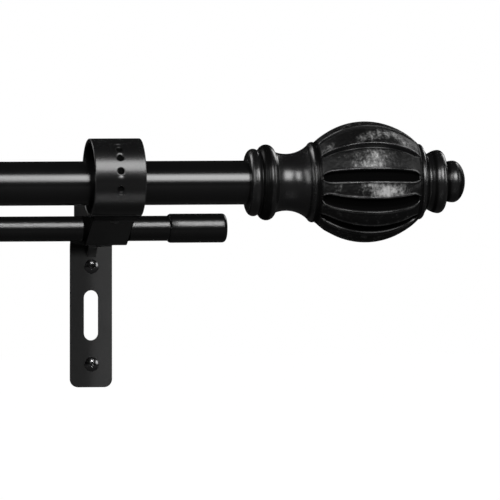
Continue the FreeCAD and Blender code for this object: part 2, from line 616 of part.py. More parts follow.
def make_saddle(label, side):
    """Nylon block that beds the front pole in the ring; its underside clears the rivet head."""
    body = new_body(label)
    section = new_sketch(body, "Section", "YZ_Plane")
    seat_r = "(front_pole_r + fit_gap)"
    back_r = "(ring_bore_r - fit_gap)"
    half = "saddle_span / 2"
    seat_z = f"-sqrt({seat_r} ^ 2 - ({half}) ^ 2)"
    back_z = f"ring_lift - sqrt({back_r} ^ 2 - ({half}) ^ 2)"
    outline(section, [
        (f"-{half}", seat_z, seat_r, "left"),
        (half, seat_z),
        (half, back_z, back_r, "right"),
        (f"-{half}", back_z),
    ])
    block = pad(body, section, "saddle_w")
    recess_top = "ring_lift - ring_bore_r + rivet_in_ring + rivet_head_t + fit_gap"
    recess = new_sketch(body, "Recess", "XY_Plane", height=recess_top)
    circle(recess, "0", "0", "rivet_head_d / 2 + fit_gap")
    cleared = pocket(body, recess)
    doc.recompute()
    if not block.Shape.Volume > cleared.Shape.Volume:
        raise ValueError("the saddle's recess removes nothing")
    place(body, f"{side} * bracket_spacing / 2", "front_y", "front_rise")


def make_rivet(label, grip, rotation, x, y, z):
    """Dome-headed rivet along its own X, with the first head's seat at the origin."""
    body = new_body(label)
    profile = new_sketch(body, "Profile", "XY_Plane")
    outline(profile, [
        ("-rivet_head_t", "0", "rivet_dome_r", "right"),
        ("0", "rivet_head_d / 2"),
        ("0", "rivet_d / 2"),
        (grip, "rivet_d / 2"),
        (grip, "rivet_head_d / 2", "rivet_dome_r", "right"),
        (f"{grip} + rivet_head_t", "0"),
    ])
    revolve(body, profile)
    place(body, x, y, z, rotation)


def make_screw(label, size, length, point, rotation, x, y, z, neck=()):
    """Pan-head screw with a cross recess, along its own X, the head's seat at the origin. A neck
    gives the corners from there to the start of the shank."""
    body = new_body(label)
    head_r = f"{size}_head_d / 2"
    head_t = f"{size}_head_t"
    rim = f"{head_t} * head_rim_share"
    dome = f"({head_t} - {rim})"
    profile = new_sketch(body, "Profile", "XY_Plane")
    outline(profile, [
        (f"-{head_t}", "0", f"(({head_r}) ^ 2 + {dome} ^ 2) / (2 * {dome})", "right"),
        (f"-{rim}", head_r),
        ("0", head_r),
        *(neck or [("0", f"{size}_d / 2")]),
        (f"{length} - {point}", f"{size}_d / 2"),
        (length, f"{size}_d / 8"),
        (length, "0"),
    ])
    turned = revolve(body, profile)
    arm = new_sketch(body, "Recess", "YZ_Plane", height=f"-{head_t}")
    span = f"{size}_head_d * recess_share / 2"
    rectangle(arm, f"-{span}", "-recess_w / 2", span, "recess_w / 2")
    slit = pocket(body, arm, f"{head_t} * recess_depth_share", reverse=True)
    cross = polar(body, slit, "X_Axis", "2", "90")
    doc.recompute()
    if not turned.Shape.Volume > slit.Shape.Volume > cross.Shape.Volume:
        raise ValueError("a screw's recess removes nothing")
    place(body, x, y, z, rotation)


def make_bracket_fasteners(name, side):
    """The rivets, the lock screw and the wall screws of one bracket."""
    middle = f"{side} * bracket_spacing / 2"
    upright = FreeCAD.Rotation(FreeCAD.Vector(0, 1, 0), -90)
    to_wall = FreeCAD.Rotation(FreeCAD.Vector(0, 0, 1), 90)
    off_wall = FreeCAD.Rotation(FreeCAD.Vector(0, 0, 1), -90)
    tipped = FreeCAD.Rotation(FreeCAD.Vector(1, 0, 0), value("lock_screw_angle"))
    make_rivet(f"{name}_strap_rivet", "strip_t + ring_wall + rivet_in_ring", upright,
               middle, "front_y", "ring_z - ring_r - strip_t")
    make_rivet(f"{name}_foot_rivet", "strip_t + stay_t", upright,
               middle, "foot_rivet_y", "arm_under")
    make_rivet(f"{name}_tab_rivet", "rivet_in_ring + ring_wall + stay_t", to_wall,
               middle, "front_y + ring_bore_r - rivet_in_ring", "ring_z")
    make_screw(f"{name}_lock_screw", "lock_screw", "lock_screw_len", "lock_screw_point", tipped * off_wall,
               middle, "front_y + lock_head_r * cos(lock_screw_angle)",
               "front_rise + lock_head_r * sin(lock_screw_angle)")
    neck = [("0", "wall_screw_neck_r"), ("strip_t", "wall_screw_neck_r"), ("strip_t", "wall_screw_d / 2")]
    for level, sign in (("upper", 1), ("lower", -1)):
        make_screw(f"{name}_{level}_wall_screw", "wall_screw", "wall_screw_len", "wall_screw_point", to_wall,
                   middle, "-strip_t", f"{sign} * wall_screw_spacing / 2", neck)


make_tube("front_pole", "front_pole_d", "front_pole_wall", "front_half", "front_y", "front_rise")
make_tube("back_pole", "back_pole_d", "back_pole_wall", "back_half", "back_y", "back_z")
for name, side in (("right", 1), ("left", -1)):
    make_finial(f"{name}_finial", side)
    make_stud(f"{name}_finial_stud", side)
    make_plug(f"{name}_pole_plug", side)
    make_end_cap(f"{name}_end_cap", side)
    make_strap(f"{name}_bracket_strap", side)
    make_ring(f"{name}_pole_ring", side)
    make_stay(f"{name}_ring_stay", side)
    make_saddle(f"{name}_pole_saddle", side)
    make_bracket_fasteners(name, side)
doc.recompute()

for item in doc.Objects:
    if "Invalid" in item.State or "Error" in item.State:
        raise ValueError(f"{item.Label} did not build")
for body in nodes:
    if body.Shape.isNull() or not body.Shape.isValid() or len(body.Shape.Solids) != 1:
        raise ValueError(f"{body.Label} is not one valid solid")

os.makedirs("parts", exist_ok=True)
for body in nodes:
    body.Shape.exportStep(f"parts/{body.Label}.step")
    print(f"{body.Label}: {body.Shape.Volume / 1000:.2f} cm3")
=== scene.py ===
"""Looks of the double curtain pole: satin black tubes, powder coated brackets, and turned finials
whose ribs are hammered and rubbed to a dark grey. The camera frames the right end, as in the photo.
"""
import math

import bpy
import numpy as np
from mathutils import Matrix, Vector, noise


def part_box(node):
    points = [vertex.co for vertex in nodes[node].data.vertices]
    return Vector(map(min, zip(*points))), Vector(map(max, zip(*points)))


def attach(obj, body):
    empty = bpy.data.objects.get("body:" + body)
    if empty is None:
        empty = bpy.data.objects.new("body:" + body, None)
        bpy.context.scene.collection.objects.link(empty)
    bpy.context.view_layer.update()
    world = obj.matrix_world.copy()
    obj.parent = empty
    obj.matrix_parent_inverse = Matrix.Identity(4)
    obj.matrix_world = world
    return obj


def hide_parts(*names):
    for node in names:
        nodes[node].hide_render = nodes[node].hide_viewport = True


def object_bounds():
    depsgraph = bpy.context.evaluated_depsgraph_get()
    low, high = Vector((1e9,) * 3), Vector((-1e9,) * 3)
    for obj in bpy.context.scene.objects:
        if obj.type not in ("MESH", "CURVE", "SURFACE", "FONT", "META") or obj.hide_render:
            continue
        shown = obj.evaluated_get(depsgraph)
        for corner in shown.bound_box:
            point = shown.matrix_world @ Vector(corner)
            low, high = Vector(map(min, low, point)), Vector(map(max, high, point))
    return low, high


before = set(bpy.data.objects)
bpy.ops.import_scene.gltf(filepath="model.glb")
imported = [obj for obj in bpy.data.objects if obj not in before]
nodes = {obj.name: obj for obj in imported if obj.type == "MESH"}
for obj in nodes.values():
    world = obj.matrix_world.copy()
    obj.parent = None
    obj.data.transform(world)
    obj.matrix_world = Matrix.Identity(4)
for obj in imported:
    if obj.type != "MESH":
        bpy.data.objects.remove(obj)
cad_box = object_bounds()
MM = 0.001
SIDES = (("right", 1), ("left", -1))


def middle(node):
    """Centre of a CAD node's box."""
    low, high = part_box(node)
    return (low + high) / 2


# How far an edge's normal turns, as one less its cosine, where wear starts and where it is full
WORN_TURN = (0.03, 0.22)


class Value:
    """A shader socket that takes part in Python arithmetic."""

    def __init__(self, finish, socket):
        self.finish = finish
        self.socket = socket

    def maths(self, operation, first, second):
        return self.finish.node("Math", {"operation": operation}, {0: first, 1: second})

    def __add__(self, other):
        return self.maths("ADD", self, other)

    def __radd__(self, other):
        return self.maths("ADD", other, self)

    def __sub__(self, other):
        return self.maths("SUBTRACT", self, other)

    def __rsub__(self, other):
        return self.maths("SUBTRACT", other, self)

    def __mul__(self, other):
        return self.maths("MULTIPLY", self, other)

    def __rmul__(self, other):
        return self.maths("MULTIPLY", other, self)

    def __abs__(self):
        return self.finish.node("Math", {"operation": "ABSOLUTE"}, {0: self})

    def at_least(self, other):
        """The larger of this value and another."""
        return self.maths("MAXIMUM", self, other)


class Finish:
    """A node tree written as expressions."""

    def __init__(self, tree):
        self.tree = tree
        tree.nodes.clear()

    def node(self, kind, settings=None, inputs=None, output=0):
        """Any node: its settings first, then the values or links of its sockets."""
        made = self.tree.nodes.new("ShaderNode" + kind)
        for name, setting in (settings or {}).items():
            setattr(made, name, setting)
        for name, given in (inputs or {}).items():
            if isinstance(given, Value):
                self.tree.links.new(given.socket, made.inputs[name])
            else:
                made.inputs[name].default_value = given
        return Value(self, made.outputs[output]) if made.outputs else None

    def place(self, scale=(1, 1, 1)):
        """A point on the surface in the part's own frame, in metres, stretched by a scale."""
        point = self.node("TexCoord", output=3)
        return self.node("Mapping", inputs={"Vector": point, "Scale": scale})

    def axis(self, letter):
        """One coordinate of the point on the surface, in metres."""
        return self.node("SeparateXYZ", inputs={"Vector": self.place()}, output="XYZ".index(letter))

    def grain(self, scale, detail=3, rough=0.5, stretch=(1, 1, 1)):
        """Noise from 0 to 1 with so many cells to the metre."""
        sockets = {"Vector": self.place(stretch), "Scale": scale, "Detail": detail, "Roughness": rough}
        return self.node("TexNoise", inputs=sockets)

    def cells(self, scale, stretch=(1, 1, 1)):
        """Distance from the nearest of scattered points, for hammer marks."""
        sockets = {"Vector": self.place(stretch), "Scale": scale}
        return self.node("TexVoronoi", {"feature": "SMOOTH_F1"}, sockets)

    def ramp(self, value, low, high):
        """0 below low, 1 above high, and a smooth climb between."""
        sockets = {"Value": value, "From Min": low, "From Max": high}
        return self.node("MapRange", {"clamp": True, "interpolation_type": "SMOOTHSTEP"}, sockets)

    def blend(self, share, first, second):
        """Colour between two, by a share."""
        sockets = {0: share, 6: (*first, 1), 7: (*second, 1)}
        return self.node("Mix", {"data_type": "RGBA"}, sockets, output=2)

    def attribute(self, name):
        """A number kept on the mesh's points."""
        return self.node("Attribute", {"attribute_name": name}, output=2)

    def worn_edge(self, radius):
        """1 on edges that a rounding of this radius would change, 0 elsewhere."""
        soft = self.node("Bevel", {"samples": 4}, {"Radius": radius})
        sharp = self.node("NewGeometry", output=1)
        same = self.node("VectorMath", {"operation": "DOT_PRODUCT"}, {0: soft, 1: sharp}, output=1)
        return self.ramp(1 - same, *WORN_TURN)

    def coat(self, bump, strength, distance, base=None, **sockets):
        """A shader over a bumped surface, on top of a base normal where there is one."""
        height = {"Height": bump, "Strength": strength, "Distance": distance}
        if base is not None:
            height["Normal"] = base
        named = {name.replace("_", " "): given for name, given in sockets.items()}
        return self.node("BsdfPrincipled", inputs={**named, "Normal": self.node("Bump", inputs=height)})

    def matt(self, shade):
        """A matt black shader that throws back no gloss, mixed in for painted shade and on unrubbed rib
        faces.
        """
        sockets = {"Base Color": (shade, shade, shade, 1), "Roughness": 1.0, "Specular IOR Level": 0.0}
        return self.node("BsdfPrincipled", inputs=sockets)

    def mixed(self, share, first, second):
        """A shader between two, by a share."""
        return self.node("MixShader", inputs={0: share, 1: first, 2: second})

    def wear(self, shader):
        """Give the material its finished shader."""
        self.node("OutputMaterial", inputs={"Surface": shader})


def new_finish(name):
    """An empty material and its node tree."""
    material = bpy.data.materials.new(name)
    material.use_nodes = True
    return material, Finish(material.node_tree)


# Shades of the matt black used as painted shade: in the ring's dimples and under it, on the back pole's
# seats and the brackets' shaded spots, and in the finial's flutes and bands
RING_SHADE_BLACK = 0.003
SHADE_BLACK = 0.002
FINIAL_SHADE_BLACK = 0.0016

# The back pole has painted shade, a matt black, where it lies in the cradles, in metres: half the
# length of that seat, on both sides of the ring's middle, and half the width of its soft edge
SEAT_HALF = 0.0153
SEAT_EDGE = 0.0004

# Flat bar of the brackets, in metres: how steeply its face falls away from the middle, and how far the
# ridge there is rounded
BAR_SLOPE = 0.04
BAR_RIDGE = 0.003

# Places of painted shade on the brackets, a matt black, each from its start to where it is full, in
# metres: the sheared end in front of the front pole's axis, the bend by its height, its depth and its
# place across the bar, and the bar's side edges by how far inside the bar's width they start
SHEARED_END = (-0.0043, -0.0047)
ABOVE_PLATE = (0.036, 0.043)
NEAR_WALL = (-0.012, -0.006)
BEND_ASIDE = (0.001, -0.005)
SIDE_EDGE = (0.0005, 0.0002)


def tube_lacquer(name, roughness, peel_depth, seat_half=None):
    """Satin black lacquer on drawn tube: faint draw lines along the tube and a little orange peel. A
    tube that lies in the brackets' cradles gets painted shade there, a matt black."""
    material, finish = new_finish(name)
    draw_lines = finish.grain(900, stretch=(0.02, 1, 1))
    peel = finish.grain(700, detail=2)
    cloud = finish.grain(35)
    shader = finish.coat(
        draw_lines * 0.35 + peel * 0.65, peel_depth, 0.0004,
        Base_Color=finish.blend(cloud, (0.0022, 0.0022, 0.0023), (0.0034, 0.0034, 0.0035)),
        Roughness=roughness + cloud * 0.04 + draw_lines * 0.02,
        Specular_IOR_Level=0.5,
    )
    if seat_half is not None:
        # painted shade: a matt black band on the back pole where it lies in the cradles
        from_ring = abs(abs(finish.axis("X")) - middle("right_pole_ring").x)
        seat_shade = 1 - finish.ramp(from_ring, seat_half - SEAT_EDGE, seat_half + SEAT_EDGE)
        shader = finish.mixed(seat_shade, shader, finish.matt(SHADE_BLACK))
    finish.wear(shader)
    return material


def band_coat():
    """Black powder coat on the rolled band: pebbled, with painted shade, a matt black, in the dimples
    and where the band turns under, and painted highlights along its lower edge, on its rims and on the
    burrs."""
    material, finish = new_finish("band_coat")
    pit = finish.attribute("pit")
    painted_highlight = finish.attribute("painted_highlight")
    pebble = finish.grain(1700, detail=2)
    patch = finish.grain(60)
    edge = finish.worn_edge(0.0007)
    # rubbed edges are wear; the painted highlights on the lower edge, rims and burrs are added on top
    rubbed = (edge * (0.35 + patch * 0.5) * 0.15).at_least(painted_highlight)
    powder = finish.coat(
        pebble, 0.1, 0.0003,
        Base_Color=finish.blend(rubbed, (0.0036, 0.0036, 0.0037), (0.11, 0.11, 0.111)),
        Roughness=0.24 + patch * 0.05,
        Specular_IOR_Level=0.5,
    )
    # painted shade: matt black in the dimples and on the underside
    finish.wear(finish.mixed(pit, powder, finish.matt(RING_SHADE_BLACK)))
    return material


def strap_coat():
    """Black powder coat on flat bar: the bar is slightly crowned by rolling and rubbed along its edges.
    It has painted shade, a matt black, on the sheared end that laps under the ring, on one side of the
    bend at the top of the wall plate, and on the side edges above the plate."""
    material, finish = new_finish("strap_coat")
    pebble = finish.grain(1700, detail=2)
    patch = finish.grain(60)
    edge = finish.worn_edge(0.0007)
    low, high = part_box("right_bracket_strap")
    half_width = (high.x - low.x) / 2
    pole_y = middle("front_pole").y
    depth = finish.axis("Y")
    aside = abs(finish.axis("X")) - middle("right_bracket_strap").x
    ridge = finish.node("Math", {"operation": "SQRT"}, {0: aside * aside + BAR_RIDGE ** 2})
    rolled = {"Height": ridge * -BAR_SLOPE, "Strength": 1.0, "Distance": 1.0}
    rubbed = edge * (0.35 + patch * 0.5)
    powder = finish.coat(
        pebble, 0.12, 0.0003, base=finish.node("Bump", inputs=rolled),
        Base_Color=finish.blend(rubbed, (0.0045, 0.0045, 0.0047), (0.035, 0.035, 0.036)),
        Roughness=0.31 + patch * 0.08 - edge * 0.05,
        Specular_IOR_Level=0.5,
    )
    # painted shade, a matt black: on the sheared end under the ring, in the bend under the arm, and on
    # the side edges above the plate
    above_plate = finish.ramp(finish.axis("Z"), *ABOVE_PLATE)
    sheared = 1 - finish.ramp(depth, pole_y + SHEARED_END[1], pole_y + SHEARED_END[0])
    bend = above_plate * finish.ramp(depth, *NEAR_WALL) * (1 - finish.ramp(aside, *BEND_ASIDE[::-1]))
    sides = above_plate * finish.ramp(abs(aside), half_width - SIDE_EDGE[0], half_width - SIDE_EDGE[1])
    painted_shade = (sheared * 0.72).at_least(bend * 0.85).at_least(sides * 0.85)
    finish.wear(finish.mixed(painted_shade, powder, finish.matt(SHADE_BLACK)))
    return material


def cap_lacquer():
    """Moulded cap in satin black: softer sheen than the front tube, with fine spark texture."""
    material, finish = new_finish("cap_lacquer")
    spark = finish.grain(2200, detail=2)
    cloud = finish.grain(80)
    edge = finish.worn_edge(0.0006)
    finish.wear(finish.coat(
        spark, 0.04, 0.0002,
        Base_Color=finish.blend(edge * 0.5, (0.0032, 0.0032, 0.0033), (0.03, 0.03, 0.031)),
        Roughness=0.24 + cloud * 0.06,
        Specular_IOR_Level=0.5,
    ))
    return material


def finial_paint():
    """Cast finial in satin black: ribs hammered and rubbed through to grey. Painted shade, a matt black,
    lies in the flutes and on some bands, and unrubbed rib faces are partly matt.
    """
    material, finish = new_finish("finial_paint")
    rib = finish.attribute("rib")
    lip = finish.attribute("lip")
    flute = finish.attribute("flute")
    rub = finish.attribute("rub")
    painted_shade = finish.attribute("painted_shade")
    hammer = finish.cells(420, stretch=(0.8, 1, 1))
    streak = finish.grain(250, detail=4, rough=0.6, stretch=(1, 0.45, 0.45))
    speckle = finish.grain(620, detail=3, rough=0.55)
    drift = finish.grain(75, detail=2)
    rubbed = rib * finish.ramp(rub * 0.7 + streak * 1.1 + speckle * 0.7, 1.02, 1.75)
    edge = lip * finish.ramp(drift * 0.8 + streak * 0.6, 0.5, 0.9)
    worn = rubbed.at_least(edge * 0.35)
    height = speckle * (0.12 + rib * 0.25) + hammer * rib * 0.9 + streak * rib * 0.5
    paint = finish.coat(
        height, 0.32, 0.0009,
        Base_Color=finish.blend(worn, (0.004, 0.004, 0.0041), (0.3, 0.3, 0.298)),
        Roughness=0.22 + rib * 0.16 + speckle * 0.06,
        Specular_IOR_Level=0.5,
    )
    # painted shade, a matt black: in the flutes, on unrubbed brinks and on the listed bands
    flute_shade = finish.ramp(flute, 0.06, 0.5).at_least(painted_shade)
    hollow = flute_shade.at_least(rib * (1 - rubbed) * 0.66)
    finish.wear(finish.mixed(hollow, paint, finish.matt(FINIAL_SHADE_BLACK)))
    return material


def black_zinc():
    """Blackened screw and rivet steel: brighter than paint, with fine turning marks."""
    material, finish = new_finish("black_zinc")
    turning = finish.grain(3000, detail=2)
    cloud = finish.grain(400)
    edge = finish.worn_edge(0.0004)
    finish.wear(finish.coat(
        turning, 0.08, 0.0001,
        Base_Color=finish.blend(edge * 0.7 + cloud * 0.1, (0.12, 0.12, 0.122), (0.26, 0.26, 0.262)),
        Roughness=0.2 + cloud * 0.06,
        Metallic=1.0,
    ))
    return material


def bright_zinc():
    """Zinc plated stud, dull silver with a faint blotch."""
    material, finish = new_finish("bright_zinc")
    cloud = finish.grain(300)
    finish.wear(finish.coat(
        finish.grain(2500), 0.1, 0.0001,
        Base_Color=finish.blend(cloud, (0.42, 0.43, 0.45), (0.58, 0.59, 0.6)),
        Roughness=0.3 + cloud * 0.12,
        Metallic=1.0,
    ))
    return material


def black_nylon():
    """Moulded black nylon, matt and slightly mottled."""
    material, finish = new_finish("black_nylon")
    cloud = finish.grain(250)
    finish.wear(finish.coat(
        finish.grain(1800), 0.12, 0.0002,
        Base_Color=finish.blend(cloud, (0.012, 0.012, 0.0125), (0.02, 0.02, 0.021)),
        Roughness=0.5 + cloud * 0.12,
    ))
    return material


LACQUER = tube_lacquer("tube_lacquer", roughness=0.16, peel_depth=0.03)
THIN_LACQUER = tube_lacquer("thin_tube_lacquer", roughness=0.24, peel_depth=0.008, seat_half=SEAT_HALF)
BAND = band_coat()
STRAP = strap_coat()
CAP = cap_lacquer()
PAINT = finial_paint()
SCREW = black_zinc()
ZINC = bright_zinc()
NYLON = black_nylon()


def grid_piece(name, points, material, flip=False, round_rows=False, tips=(None, None)):
    """A smooth mesh over a grid of points, rows by columns, closed round its columns and, where
    asked, round its rows too, or by a tip point at the first or the last row."""
    rows, columns, _ = points.shape
    vertices = [tuple(point) for point in points.reshape(-1, 3)]
    faces = []
    for row in range(rows if round_rows else rows - 1):
        after = (row + 1) % rows
        for column in range(columns):
            beside = (column + 1) % columns
            faces.append((row * columns + column, row * columns + beside,
                          after * columns + beside, after * columns + column))
    for tip, row, turned in ((tips[0], 0, True), (tips[1], rows - 1, False)):
        if tip is not None:
            vertices.append(tuple(tip))
            last = len(vertices) - 1
            for column in range(columns):
                pair = (row * columns + column, row * columns + (column + 1) % columns)
                faces.append((*(reversed(pair) if turned else pair), last))
    if flip:
        faces = [tuple(reversed(face)) for face in faces]
    mesh = bpy.data.meshes.new(name)
    mesh.from_pydata(vertices, [], faces)
    mesh.polygons.foreach_set("use_smooth", [True] * len(faces))
    mesh.materials.append(material)
    mesh.update()
    piece = bpy.data.objects.new(name, mesh)
    bpy.context.scene.collection.objects.link(piece)
    return piece


def turned_points(x, radius, turns, axis):
    """Grid of points at places x, in metres, and radii, in millimetres, round an axis along X. Turn 0
    faces the room, and a quarter turn is at the top."""
    return np.stack((
        x,
        axis.y - MM * radius * np.cos(turns),
        axis.z + MM * radius * np.sin(turns),
    ), 2)


def stand_for(piece, node):
    """Let a piece ride on the part in place of a CAD node."""
    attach(piece, "root")
    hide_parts(node)


def keep_on_points(piece, name, numbers):
    """Keep one number for each grid point on the mesh, for the material to read."""
    padded = np.zeros(len(piece.data.vertices), np.float32)
    flat = np.asarray(numbers, np.float32).ravel()
    padded[:len(flat)] = flat
    piece.data.attributes.new(name, "FLOAT", "POINT").data.foreach_set("value", padded)


def arc_rows(start, end, rise, count):
    """Points of an arc from start up to, but without, end, that stands a rise above its chord."""
    start, end = np.array(start, float), np.array(end, float)
    chord = end - start
    length = np.hypot(*chord)
    height = abs(rise)
    radius = length ** 2 / (8 * height) + height / 2
    along = chord / length
    out = np.array((-along[1], along[0])) * math.copysign(1, rise)
    half = math.asin(length / 2 / radius)
    turns = np.linspace(-half, half, count, endpoint=False)[:, None]
    foot = (start + end) / 2 - out * (radius - height)
    return foot + along * radius * np.sin(turns) + out * radius * np.cos(turns)


def smooth_step(values, low, high):
    """0 below low, 1 above high, and a smooth climb between."""
    share = np.clip((values - low) / (high - low), 0, 1)
    return share * share * (3 - 2 * share)


def window(values, first, full, fade, last):
    """0 before first and after last, and 1 from full to fade."""
    return smooth_step(values, first, full) * (1 - smooth_step(values, fade, last))


def hump(values, centre, spread):
    """1 at the centre, falling away to both sides."""
    return np.exp(-((values - centre) / spread) ** 2)


# Finial, in millimetres from its face on the pole; pairs are a place along it and a radius. The lead
# is half the length of the oval that swells into the knob
ROOT_R = 12.0
FACE_R = 16.5
FACE_ROUND = 0.5
COLLAR = (7.0, 19.6)
TORUS = (17.0, 19.6)
FLARE = (39.4, 24.0)
BULB_START = 43.1
BULB_END = 109.0
BULB_AT = 76.05
BULB_R = 38.4
BULB_ARC_R = 47.3
BULB_STEP = (BULB_END + 0.15, 24.0)
CROWN = (109.0, 23.2)
TAIL = (112.5, 21.9)
GROOVE = (114.4, 19.1)
FIFTH = (
    (115.4, 17.3), (116.4, 17.9), (117.5, 18.5), (118.6, 19.03), (119.5, 19.43), (120.1, 19.64),
    (120.8, 19.83), (121.6, 20.0), (122.4, 20.12), (123.2, 20.12), (123.9, 19.98), (124.6, 19.68),
    (125.3, 19.2), (125.9, 18.55), (126.4, 17.75), (126.7, 16.9),
)
KNOB_START = 126.8
KNOB_AT = 132.6
KNOB_R = 13.3
KNOB_LEAD = 13
FINIAL_LEN = 140.4

# Flutes: how many, width, depth and turn, then where they run out and the length of their rounded
# ends, with the least share of that length, at which they still have some width
FLUTES = 12
FLUTE_W = 8.2
FLUTE_DEPTH = 3.2
FLUTE_TURN = math.radians(8)
FLUTE_ENDS = (43.6, 107.6)
FLUTE_ROUND = 7.0
FLUTE_LEAST = 0.06

# Where the flutes sink in and come out, and where the ribs' hammered faces do
FLUTE_RUN = (43.8, 46.4, 104.8, 107.4)
RIB_RUN = (43.2, 45.5, 106.8, 108.9)

# For six flutes, counted upward from the one that faces the room: share of the full width, how far
# the upper and the lower edge are rubbed, and how much painted shade lies on the upper and the lower
# wall; the six on the far side are the same
FLUTE_CUTS = (
    (1.0, 0.5, 1.0, 1.0, 1.0),
    (0.66, 1.0, 0.1, 0.3, 0.1),
    (0.66, 0.15, 0.2, 0.25, 0.2),
    (0.8, 0.15, 0.2, 1.0, 1.0),
    (1.0, 0.3, 0.15, 1.0, 1.0),
    (1.17, 0.45, 0.3, 1.0, 1.0),
)

# Columns of the mesh round the finial: their places from a flute's floor to past its lip, in shares of
# the flute's half width, and over the rib beside it, in shares of the rib; the place that all columns
# of a rib count as; and how many times its half width a flute's half sector has at least
FLUTE_SHARES = np.array([0, 0.3, 0.56, 0.66, 0.76, 0.86, 0.95, 1.0, 1.06, 1.13, 1.21, 1.32])
RIB_SHARES = np.array([0.2, 0.42, 0.66, 0.88])
RIB_PLACE = 2.0
SECTOR_ROOM = 1.45

# The walls of the flutes and the start of the ribs' faces, from and to; a lower wall with little
# painted shade on it is gentle, and the others are steep
GENTLE_SHADE = 0.5
GENTLE_WALL = (-0.35, 0.9)
STEEP_WALL = (0.56, 1.02)
GENTLE_FACE = (0.0, 0.4)
STEEP_FACE = (1.15, 1.4)

# Lip beside a flute and the brink of its wall, each as centre and spread; a brink that isn't rubbed
# gets painted shade by this much near the middle of the bulb, up to so far from it
LIP = (1.12, 0.1)
LIP_RISE = 0.18
BRINK = (1.02, 0.12)
BRINK_SHADE = 0.6
MID_BULB = (12, 27)

# Hammered ribs: cells along and round the finial, depth of the broad dents, and scale and depth of the
# fine ones, all a little below the turned bulb
DENTS_ALONG = 0.16
DENTS_ROUND = 6
BROAD_DENTS = 0.22
FINE_DENTS = (2.7, 0.1)
RIB_SINK = 0.12

# Patches where hands have rubbed the ribs: turn in degrees, place along the finial, half height in
# degrees, half length and strength; they come again on the far side
RUBS = (
    (14.5, 73, 8, 12.5, 0.38), (20, 72, 12, 12, 0.3), (17, 68, 9, 20, 0.1), (30, 76, 7, 18, 0.4),
    (32, 52, 6, 6, 0.15), (-8, 83.5, 9, 12, 1.1), (-1, 72, 4, 6, 0.45), (-6, 53, 8, 6, 0.35),
    (50, 72, 7, 7, 0.55), (57, 86, 8, 12, 0.6), (50, 98, 9, 5, 0.5), (48, 49, 8, 5, 0.55),
    (-38, 76, 10, 30, 0.08), (-30, 48, 6, 4, 0.3), (-68, 76, 10, 30, 0.2), (83, 66, 9, 14, 0.3),
)

# Bands round the finial with painted shade, a matt black over their gloss: start and end of each,
# then how strong that shade is, and how far they set in before their start and fade on both sides of
# their ends
SHADED_BANDS = (
    (7.0, 12.6), (37.2, 38.6), (40.6, 44.6), (106.6, 109.2), (112.9, 115.0), (117.7, 120.2),
    (127.2, 130.0), (134.8, 137.6),
)
BAND_SHADE = 0.85
SHADE_LEAD = 0.3
SHADE_FADE = 0.5


def bulb_radius(along):
    """Radius of the bulb before its flutes are cut."""
    return BULB_R - BULB_ARC_R + np.sqrt(BULB_ARC_R ** 2 - (along - BULB_AT) ** 2)


def finial_profile():
    """Distance along the axis and radius of each row of the finial's mesh."""
    bulb = np.linspace(BULB_START, BULB_END, 104)
    rise = np.linspace(KNOB_START, KNOB_AT, 8)
    turn = np.linspace(0, math.pi / 2, 18)[1:-1]
    rise_r = KNOB_R * np.sqrt(1 - ((KNOB_AT - rise) / KNOB_LEAD) ** 2)
    ball = np.stack((KNOB_AT + (FINIAL_LEN - KNOB_AT) * np.sin(turn), KNOB_R * np.cos(turn)), 1)
    return np.concatenate([
        [(0, ROOT_R), (0, FACE_R - FACE_ROUND)],
        arc_rows((0, FACE_R), COLLAR, rise=3.35, count=14),
        arc_rows(COLLAR, TORUS, rise=4.5, count=18),
        arc_rows(TORUS, FLARE, rise=-3.4, count=22),
        arc_rows(FLARE, (BULB_START, bulb_radius(BULB_START)), rise=1.0, count=8),
        np.stack((bulb, bulb_radius(bulb)), 1),
        [BULB_STEP],
        arc_rows(CROWN, TAIL, rise=1.45, count=9),
        [TAIL, GROOVE],
        FIFTH,
        np.stack((rise, rise_r), 1),
        ball,
    ])


def flute_columns(edge_turn):
    """Turn of each column of the mesh round the axis, close together at a flute's floor and edges,
    where it lies as a share of the flute's half width, and the number of its flute."""
    half_sector = math.pi / FLUTES
    past_lip = FLUTE_SHARES[-1]
    sectors = []
    for number in range(FLUTES):
        wide = FLUTE_CUTS[number % len(FLUTE_CUTS)][0]
        edge = np.minimum(edge_turn * wide, half_sector / SECTOR_ROOM)[:, None]
        rib = edge * past_lip + (half_sector - edge * past_lip) * RIB_SHARES
        half = np.concatenate((edge * FLUTE_SHARES, rib), 1)
        sectors.append(np.concatenate((-half[:, :0:-1], half), 1) + 2 * half_sector * number)
    half_shares = np.concatenate((FLUTE_SHARES, np.full(len(RIB_SHARES), RIB_PLACE)))
    shares = np.concatenate((-half_shares[:0:-1], half_shares))
    numbers = np.repeat(np.arange(FLUTES), len(shares))
    return np.concatenate(sectors, 1), np.tile(shares, FLUTES), numbers


